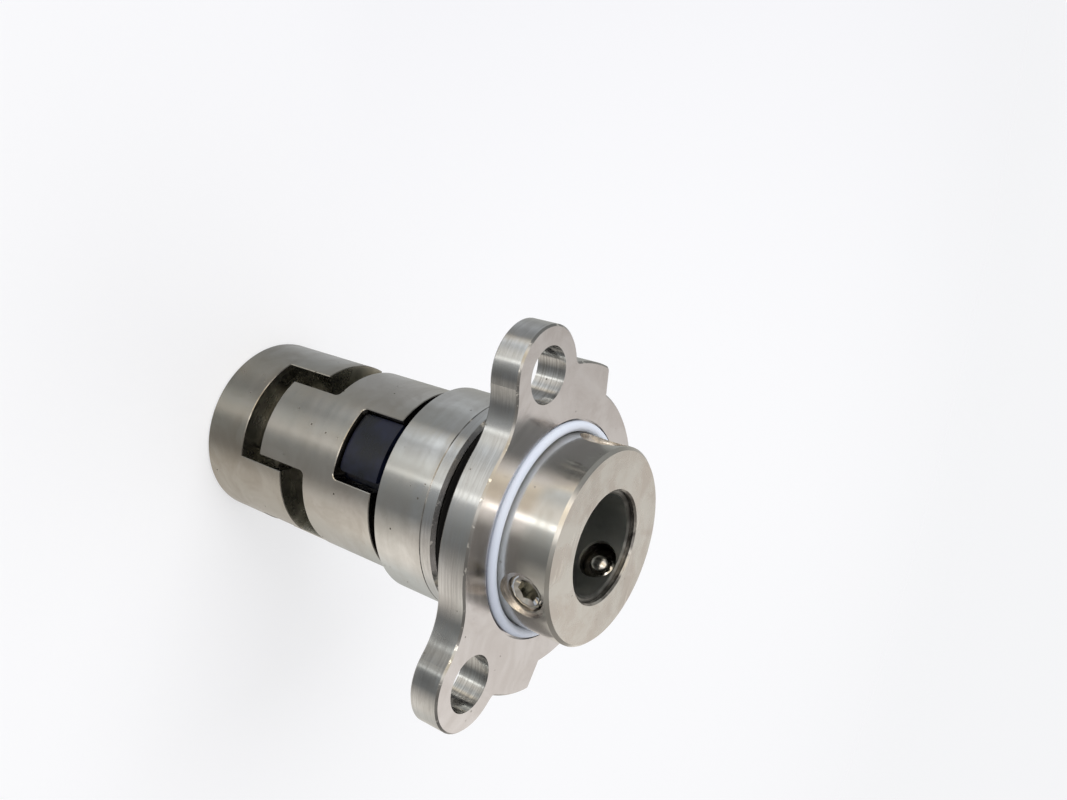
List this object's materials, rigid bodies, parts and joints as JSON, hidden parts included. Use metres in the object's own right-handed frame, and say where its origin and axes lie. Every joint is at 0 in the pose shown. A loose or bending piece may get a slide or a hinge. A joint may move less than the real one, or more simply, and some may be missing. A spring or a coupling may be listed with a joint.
{
  "type": "cartridge mechanical seal",
  "caption": "Cartridge shaft seal: eared gland plate, seat housing, dark rotating face in a windowed carrier, dogged drive ring and a lock collar with set screws on one sleeve.",
  "frame": {"origin": "on the shaft axis, in the gland plate's rear face, which seats on the pump cover", "axes": "+Z along the shaft axis from the drive ring up to the lock collar; +Y towards the first bolt ear"},
  "size_m": [0.0608, 0.0565, 0.0732],
  "materials": {
    "stainless_steel": "turned and brushed",
    "flange_steel": "milled rim, finely finished faces",
    "screw_steel": "bright machined thread",
    "spring_steel": "drawn wire",
    "hard_face": "ground dark ceramic, lapped on its running face",
    "black_rubber": "moulded",
    "white_plastic": "smooth fluoropolymer"
  },
  "bodies": {
    "gland": {"gland_flange": "flange_steel", "seat_housing": "stainless_steel", "housing_o_ring": "black_rubber", "stationary_seat": "hard_face", "seat_o_ring": "black_rubber", "seat_pin": "stainless_steel", "centring_ring": "white_plastic"},
    "face": {"rotating_face": "hard_face", "face_o_ring": "black_rubber"},
    "carrier": {"face_carrier": "stainless_steel"},
    "spring": {"drive_spring": "spring_steel", "thrust_washer": "stainless_steel"},
    "rotor": {"shaft_sleeve": "stainless_steel", "lock_collar": "stainless_steel", "drive_ring": "stainless_steel", "shaft_o_ring": "black_rubber"},
    "screw_1": {"set_screw_1": "screw_steel"},
    "screw_2": {"set_screw_2": "screw_steel"},
    "screw_3": {"set_screw_3": "screw_steel"}
  },
  "joints": [
    {"name": "seal_turn", "type": "hinge", "parent": "gland", "child": "face", "pos_m": [0, 0, 0], "axis": [0, 0, 1], "continuous": true},
    {"name": "carrier_play", "type": "hinge", "parent": "face", "child": "carrier", "pos_m": [0, 0, 0], "axis": [0, 0, 1], "range_deg": [-4.5, 0]},
    {"name": "dog_play", "type": "hinge", "parent": "carrier", "child": "spring", "pos_m": [0, 0, 0], "axis": [0, 0, 1], "range_deg": [-4, 12]},
    {"name": "setting_travel", "type": "slide", "parent": "spring", "child": "rotor", "axis": [0, 0, 1], "range_m": [0, 0.0042], "stiffness_N_per_m": 4000, "springref_m": -0.004, "deforming": ["drive_spring"]},
    {"name": "screw_1_travel", "type": "slide", "parent": "rotor", "child": "screw_1", "axis": [0.4617, 0.887, 0], "range_m": [0, 0.002]},
    {"name": "screw_2_travel", "type": "slide", "parent": "rotor", "child": "screw_2", "axis": [-0.999, -0.0436, 0], "range_m": [0, 0.002]},
    {"name": "screw_3_travel", "type": "slide", "parent": "rotor", "child": "screw_3", "axis": [0.5373, -0.8434, 0], "range_m": [0, 0.002]}
  ]
}
